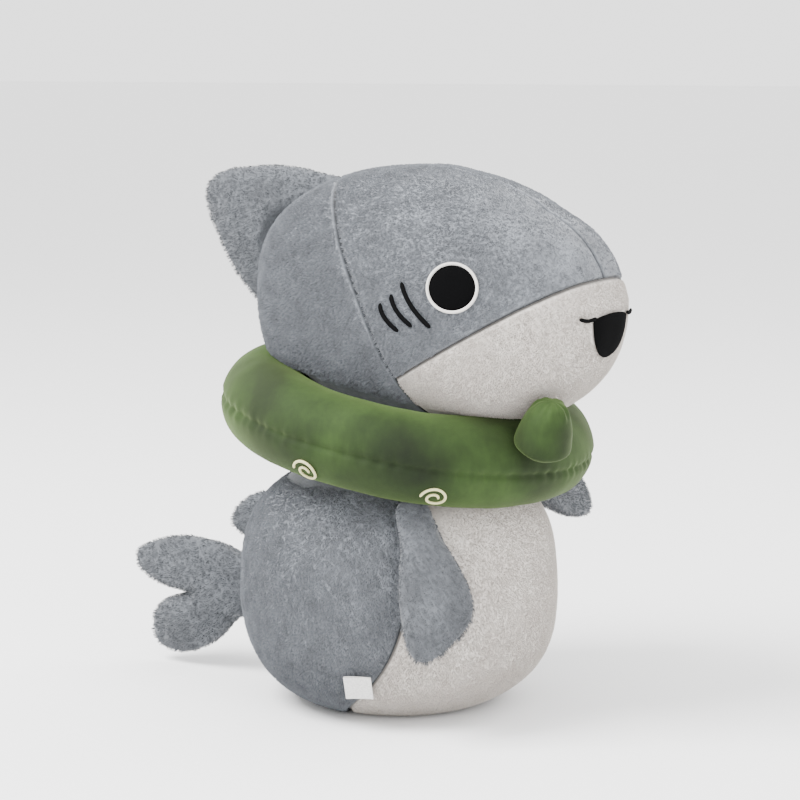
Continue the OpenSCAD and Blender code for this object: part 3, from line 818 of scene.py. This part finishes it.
def build_base():
    """The round panel that the toy sits on, a little lumpy and pressed flat."""
    n, rings = 160, 20
    radius = body_profile(np.array([0.0]))[0][0] - 2 * MM
    share = (np.arange(1, rings + 1) / rings)[:, None]
    bearing = 2 * math.pi * np.arange(n) / n
    height = 0.4 * MM * share**6 + 0 * bearing
    ring = np.stack([radius * share * np.sin(bearing), radius * share * np.cos(bearing), height], axis=-1)
    points = np.vstack([[[0, 0, 0]], ring.reshape(-1, 3)])
    inward = np.concatenate([[1], np.repeat(1 - share.ravel() ** 2, n)])
    points[:, 2] += 0.5 * MM * (1 + lumps(points, 0.03, 6)) * inward
    base = shell("base_panel", points, fan_faces(rings, n), PILE, np.array([0, 0, 0.1]))
    dress(base, grey_plush, "torso", ("base_panel",))


def build_neck():
    """The stuffed neck inside the collar's ring, out of sight."""
    rows, cols = 24, 64
    low, high = span("neck_stuffing")
    radius = 0.86 * (high[0] - low[0]) / 2
    tall = np.linspace(-0.9, 0.42, rows)
    bearing = 2 * math.pi * np.arange(cols) / cols
    u = unit(np.cross(NECK_AXIS, [1, 0, 0]))
    r = radius * np.where(tall < 0, np.sqrt(1 - tall**2), 1.0)
    ring = np.sin(bearing)[:, None] * np.array([1, 0, 0]) + np.cos(bearing)[:, None] * u
    points = NECK_CENTRE + (tall * radius)[:, None, None] * NECK_AXIS + r[:, None, None] * ring
    points = points.reshape(-1, 3)
    points += unit(points - NECK_CENTRE) * (1.5 * MM * lumps(points, 0.03, 7))[:, None]
    faces = grid_faces(rows, cols, closed=True) + end_caps(rows, cols)
    neck = new_object("neck_stuffing", points, faces)
    dress(neck, polyester, "neck", ("neck_stuffing",))


# ---- Collar ----
def collar_panel(name, low_angle):
    """The top or bottom half of the collar's cover, with its seams drawn in and puckered."""
    rows, cols = 60, 420
    share = (1 - np.cos(np.linspace(0, math.pi, rows))) / 2
    angle = (low_angle + math.pi * share)[:, None] + 0 * np.zeros(cols)
    bearing = (2 * math.pi * np.arange(cols) / cols)[None] + 0 * angle
    to_seam = (math.pi * TUBE_R * np.minimum(share, 1 - share))[:, None]
    middle = on_collar(bearing, angle, TUBE_R + 0 * angle).reshape(-1, 3)
    gathers = np.sin(83 * bearing + 2 * np.sin(7 * bearing)) + np.sin(53 * bearing + 3 * np.sin(5 * bearing))
    pucker = 0.4 * MM * gathers * groove(to_seam, 1, 6 * MM)
    swell = 1.6 * MM * lumps(middle, 0.06, 8) + 0.5 * MM * lumps(middle, 0.022, 9)
    tube = TUBE_R + fullness(bearing, np.cos(angle)) - groove(to_seam, 2.2 * MM, 3 * MM)
    radius = tube + pucker + swell.reshape(angle.shape) - 0.6 * MM
    points = on_collar(bearing, angle, radius).reshape(-1, 3)
    faces = facing(points, grid_faces(rows, cols, closed=True), tube_offset(points))
    return dress(fabric(name, points, faces, 1.6 * MM), green_velvet, "collar", (name,))


SWIRL_BEARINGS = (-92, -51, 51, 92)


def build_collar():
    """Two velvet halves and the embroidered spirals low on their outer face."""
    collar_panel("collar_top_panel", 0.0)
    bottom = collar_panel("collar_bottom_panel", math.pi)
    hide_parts("collar_stuffing")
    turn = np.linspace(0, 3 * math.pi, 110)
    size = 11 * MM * (0.25 + 0.75 * turn / turn[-1])
    strokes = []
    for middle in SWIRL_BEARINGS:
        fall = math.radians(-38) + size * np.sin(turn) / TUBE_R
        round_r = COLLAR_R + TUBE_R * np.cos(fall)
        bearing = math.radians(middle) + size * np.cos(turn) / round_r
        path = on_collar(bearing, fall, TUBE_R + fullness(bearing, np.cos(fall)) + 0.4 * MM)
        strokes.append(ridge(path, unit(tube_offset(path)), 2.2 * MM, 1.1 * MM))
    stitched("collar_swirls", strokes, cream_thread, "collar", ("collar_swirls",))


def build_knob():
    """A stubby velvet peg, gathered at its end, sewn onto the front of the collar."""
    rows, cols = 70, 120
    foot = np.array(joint("knob_flop")["pos_m"], float)
    points = node_points("knob_cover")
    up = unit(points.mean(axis=0) - foot)
    length = ((points - foot) @ up).max()
    flat = points - foot - ((points - foot) @ up)[:, None] * up
    radius = np.linalg.norm(flat, axis=1).max()
    u = unit(np.cross(up, [1, 0, 0]))
    v = np.cross(up, u)
    share = np.linspace(0, 1, rows)
    bearing = 2 * math.pi * np.arange(cols) / cols
    tall = np.interp(share, [0, 0.12, 0.5, 0.8, 1], [-0.5, -0.28, 0.45, 0.86, 1.0]) * length
    shape_at = [0, 0.1, 0.18, 0.4, 0.55, 0.68, 0.8, 0.9, 1]
    shape = np.interp(share, shape_at, [0.8, 1.24, 1.24, 1.12, 0.98, 0.82, 0.6, 0.34, 0.03])
    for _ in range(4):
        for line in (tall, shape):
            line[1:-1] = (line[:-2] + line[1:-1] + line[2:]) / 3
    gather = np.clip((share - 0.6) / 0.3, 0, 1)[:, None]
    wide_folds = 0.12 * np.sin(7 * bearing + 1.5 * np.sin(2 * bearing))
    fine_folds = 0.05 * np.sin(13 * bearing)
    r = radius * shape[:, None] * (1 + gather * (wide_folds + fine_folds))
    ring = np.cos(bearing)[:, None] * u + np.sin(bearing)[:, None] * v
    dent = -0.05 * length * np.clip((share - 0.86) / 0.14, 0, 1) ** 1.5
    p = foot + (tall + dent)[:, None, None] * up + r[:, :, None] * ring
    p = p.reshape(-1, 3)
    p = p + unit(p - foot) * (0.6 * MM * lumps(p, 0.015, 11))[:, None]
    knob = new_object("knob_cover", p, grid_faces(rows, cols, closed=True) + end_caps(rows, cols))
    dress(knob, green_velvet, None, ("knob_cover", "knob_stuffing"))
    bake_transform(knob)


# ---- Stuffed fins ----
FIN_MARGIN = 3 * MM  # How far a fin's fabric reaches past its CAD outline before its seam is drawn in.


def smooth_loop(points, count):
    """A smooth closed line through ordered points, at an even spacing."""
    n = len(points)
    t = np.arange(n * 8) / 8
    i = t.astype(int)
    f = (t - i)[:, None]
    p, q, r, s = (points[(i + k) % n] for k in (-1, 0, 1, 2))
    line = 0.5 * (2 * q + (r - p) * f + (2 * p - 5 * q + 4 * r - s) * f**2 + (3 * q - p - 3 * r + s) * f**3)
    gaps = np.linalg.norm(np.roll(line, -1, axis=0) - line, axis=1)
    far = np.concatenate([[0], np.cumsum(gaps)])
    line = np.vstack([line, line[:1]])
    at = np.linspace(0, far[-1], count, endpoint=False)
    return np.stack([np.interp(at, far, line[:, k]) for k in range(line.shape[1])], axis=1)


def fin_outline(flat, least):
    """The outermost points of a flat fin, in order round its middle."""
    turn = np.arctan2(flat[:, 1], flat[:, 0])
    size = np.hypot(flat[:, 0], flat[:, 1])
    rim = []
    for i in np.argsort(turn):
        if size[i] < least:
            continue
        if rim and turn[i] - turn[rim[-1]] < 0.003:
            if size[i] > size[rim[-1]]:
                rim[-1] = i
        else:
            rim.append(i)
    return flat[rim]


def fin_plane(points):
    """(middle, first axis, second axis, thickness axis) of a flat set of points."""
    middle = points.mean(axis=0)
    _, _, axes = np.linalg.svd(points - middle, full_matrices=False)
    return middle, axes[0], axes[1], axes[2]


def swell(obj, pressure, cap):
    """Fills a stuffed piece with a short cloth simulation, in which no point moves further than the cap."""
    rest = np.array([tuple(v.co) for v in obj.data.vertices])
    modifier = obj.modifiers.new("filling", "CLOTH")
    s = modifier.settings
    s.quality = 6
    s.mass = 0.15
    s.tension_stiffness = 12
    s.compression_stiffness = 12
    s.shear_stiffness = 6
    s.bending_stiffness = 0.3
    s.use_pressure = True
    s.uniform_pressure_force = pressure
    s.effector_weights.gravity = 0
    modifier.collision_settings.use_collision = False
    scene = bpy.context.scene
    modifier.point_cache.frame_start = 1
    modifier.point_cache.frame_end = 20
    for number in range(1, 21):
        scene.frame_set(number)
    filled = obj.evaluated_get(bpy.context.evaluated_depsgraph_get()).to_mesh()
    moved = np.array([tuple(v.co) for v in filled.vertices]) - rest
    obj.modifiers.remove(modifier)
    scene.frame_set(1)
    length = np.linalg.norm(moved, axis=1, keepdims=True)
    moved *= np.minimum(1, cap / (length + 1e-9))
    obj.data.vertices.foreach_set("co", (rest + moved).ravel())
    obj.data.update()


def apply_modifier(obj, kind, **settings):
    """Adds one modifier to a mesh and makes its result the mesh."""
    modifier = obj.modifiers.new(kind.lower(), kind)
    for key, value in settings.items():
        setattr(modifier, key, value)
    result = bpy.data.meshes.new_from_object(obj.evaluated_get(bpy.context.evaluated_depsgraph_get()))
    obj.modifiers.clear()
    old = obj.data
    obj.data = result
    bpy.data.meshes.remove(old)


def fin_shape(skins):
    """(points, faces, middle, thickness axis, typical reach) of a pillow inside some flat CAD skins."""
    around, rings = 180, 22
    points = node_points(*skins)
    middle, *axes = fin_plane(points)
    local = (points - middle) @ np.array(axes).T
    peak = local[np.argmax(np.abs(local[:, 2]))]
    half_t = np.abs(local[:, 2]).max()
    flat = local[:, :2] - peak[:2]
    outline = smooth_loop(fin_outline(flat, half_t / 4), around)
    outline *= 1 + FIN_MARGIN / np.median(np.linalg.norm(outline, axis=1))
    share = np.sin(np.linspace(0, math.pi / 2, rings + 1))[1:]
    height = half_t * np.maximum(1 - share**2.2, 0) ** 0.55
    disc = np.vstack([[[0, 0]], (share[:, None, None] * outline).reshape(-1, 2)])
    rise = np.concatenate([[half_t], np.repeat(height, around)])
    count = len(disc)
    inside = count - around
    faces = fan_faces(rings, around)
    under = [[v + count if v < inside else v for v in f[::-1]] for f in faces]
    top = np.column_stack([disc + peak[:2], rise])
    low = np.column_stack([disc[:inside] + peak[:2], -rise[:inside]])
    world = middle + np.vstack([top, low]) @ np.array(axes)
    return world, faces + under, middle, axes[2], np.median(np.linalg.norm(flat, axis=1))


def draw_in_seam(obj, middle, normal, reach, hinge, out, seed):
    """Draws the seam round a fin's rim in, sinks its root into the body, and makes it a little lumpy."""
    co = np.array([tuple(v.co) for v in obj.data.vertices])
    h = (co - middle) @ normal
    near_root = np.exp(-np.maximum((co - hinge) @ out, 0) / (10 * MM))
    stitch = groove(np.abs(h), 1.5 * MM, 1.6 * MM) * (1 - near_root)
    flat = (co - middle) - h[:, None] * normal
    rim_share = np.clip(np.linalg.norm(flat, axis=1) / reach, 0, 1)
    co = co - unit(flat) * (stitch * rim_share)[:, None]
    co = co - out * (5 * MM * near_root)[:, None]
    co = co + unit(co - middle) * (0.9 * MM * lumps(co, 0.03, seed))[:, None]
    obj.data.vertices.foreach_set("co", co.ravel())
    obj.data.update()


def build_fin(name, skins, stuffing, hinge, out, comb, seed):
    """A stuffed fin inside the outline of its CAD skins, rooted into the body that it is sewn to."""
    points, faces, middle, normal, reach = fin_shape(skins)
    obj = new_object(name, points, faces)
    apply_modifier(obj, "REMESH", mode="VOXEL", voxel_size=2.6 * MM)
    swell(obj, 4.0, 4 * MM)
    out = unit(np.array(out, float))
    draw_in_seam(obj, middle, normal, reach, hinge, out, seed)
    apply_modifier(obj, "SUBSURF", levels=1, render_levels=1)
    obj.data.shade_smooth()
    obj.data.materials.clear()
    # Painted shade: the fin's plush and pile are the grey darkened.
    dress(obj, fin_plush_painted_shade, None, tuple(skins) + (stuffing,))
    fur(obj, np.ones(len(obj.data.vertices)), fin_fur_painted_shade, 0.9 * GREY_PILE, 1.2, comb, seed)
    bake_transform(obj)


# Each fin: its body, its joint, its CAD skins, its parent, its outward direction (None: from its hinge to
# its middle), and the way its pile is combed.
FINS = (
    ("head_fin", "head_fin_bend", ("_right_panel", "_left_panel"), "head", (0, 0.9, 0.42), (0, 0.6, -0.3)),
    ("back_fin", "back_fin_bend", ("_cover",), "torso", (0, 0.9, 0.15), (0, 0.6, -0.3)),
    ("tail", "tail_wag", ("_right_panel", "_left_panel"), "torso", (0, 1, 0), (0, 0.7, -0.2)),
    ("flipper_right", "right_flipper_lift", ("_cover",), "torso", None, (0, 0, -0.7)),
    ("flipper_left", "left_flipper_swing", ("_cover",), "torso", None, (0.5, 0, -0.2)),
)


def build_fins():
    """Head fin, back fin, tail and the two flippers."""
    first_seed = 60
    for seed, (body, hinge_name, endings, parent, out, comb) in enumerate(FINS, first_seed):
        skins = [body + ending for ending in endings]
        hinge = np.array(joint(hinge_name)["pos_m"], float)
        if out is None:
            out = node_points(*skins).mean(axis=0) - hinge
        build_fin(f"{body}_skin", skins, f"{body}_stuffing", hinge, out, comb, seed)


# ---- Care label ----
def build_label():
    """A blank loop of tape, folded in half and caught in the right seam."""
    points = node_points("care_label")
    hinge = np.array(joint("label_flap")["pos_m"], float)
    rise = unit(joint("label_flap")["axis"])
    to_middle = points.mean(axis=0) - hinge
    along = unit(to_middle - (to_middle @ rise) * rise)
    face = unit(np.cross(rise, along))
    width = np.ptp(points @ rise)
    length = np.ptp(points @ along)
    half_gap, thick, tuck = 0.7 * MM, 0.3 * MM, 1.5 * MM
    root = hinge - tuck * along
    straight = np.linspace(0, length + tuck - half_gap, 24)
    bend = np.linspace(-math.pi / 2, math.pi / 2, 10)[1:-1]
    spread = 0.5 + 0.5 * np.sin(np.linspace(0, math.pi / 2, 24))
    x = np.concatenate([straight, straight[-1] + half_gap * np.cos(bend), straight[::-1]])
    y = np.concatenate([-half_gap * spread, half_gap * np.sin(bend), half_gap * spread[::-1]])
    y += 2.0 * MM * (x / x.max()) ** 2
    across = np.linspace(-0.5, 0.5, 16) * width
    grid = root + x[:, None, None] * along + y[:, None, None] * face + across[None, :, None] * rise
    obj = fabric("care_label", grid.reshape(-1, 3), grid_faces(len(x), len(across)), thick)
    dress(obj, label_tape, "label", ("care_label",))


# ---- Stage ----
def aim(obj, place, target):
    """Puts a lamp or camera at a place, looking at the target."""
    obj.location = place
    obj.rotation_euler = (target - Vector(place)).to_track_quat("-Z", "Y").to_euler()
    bpy.context.scene.collection.objects.link(obj)


# Each lamp: its name, place, size and power.
LAMPS = (
    ("key", (-1.3, 1.0, 2.3), 1.4, 200),
    ("front", (-1.2, -2.2, 1.3), 1.6, 40),
    ("side", (1.5, -1.0, 1.6), 1.2, 18),
)


def build_stage():
    """A pale floor, a white sky, soft lamps, and the camera at the reference angle."""
    half = 40.0
    corners = [(-half, -half, 0), (half, -half, 0), (half, half, 0), (-half, half, 0)]
    floor = new_object("floor", corners, [[0, 1, 2, 3]])
    material, _, _, shader = new_material("floor_white")
    shader.inputs["Base Color"].default_value = (0.9, 0.9, 0.9, 1)
    shader.inputs["Roughness"].default_value = 0.9
    floor.data.materials.append(material)
    world = bpy.data.worlds.new("studio")
    world.use_nodes = True
    background = world.node_tree.nodes["Background"]
    background.inputs["Color"].default_value = (1.0, 1.0, 1.0, 1)
    background.inputs["Strength"].default_value = 2.3
    bpy.context.scene.world = world
    target = Vector((0, 0, 0.2477))
    for name, place, size, power in LAMPS:
        light = bpy.data.lights.new(name, "AREA")
        light.size = size
        light.energy = power
        aim(bpy.data.objects.new(name, light), place, target)
    camera = bpy.data.objects.new("camera", bpy.data.cameras.new("camera"))
    camera.data.lens = 110
    azimuth, elevation, away = math.radians(-60), math.radians(8), 2.0
    flat = math.cos(elevation)
    towards = Vector((math.sin(azimuth) * flat, -math.cos(azimuth) * flat, math.sin(elevation)))
    aim(camera, target + away * towards, target)
    bpy.context.scene.camera = camera


build_head()
build_eyes()
build_gills()
build_mouth()
build_body()
build_base()
build_neck()
build_collar()
build_knob()
build_fins()
build_label()
build_stage()
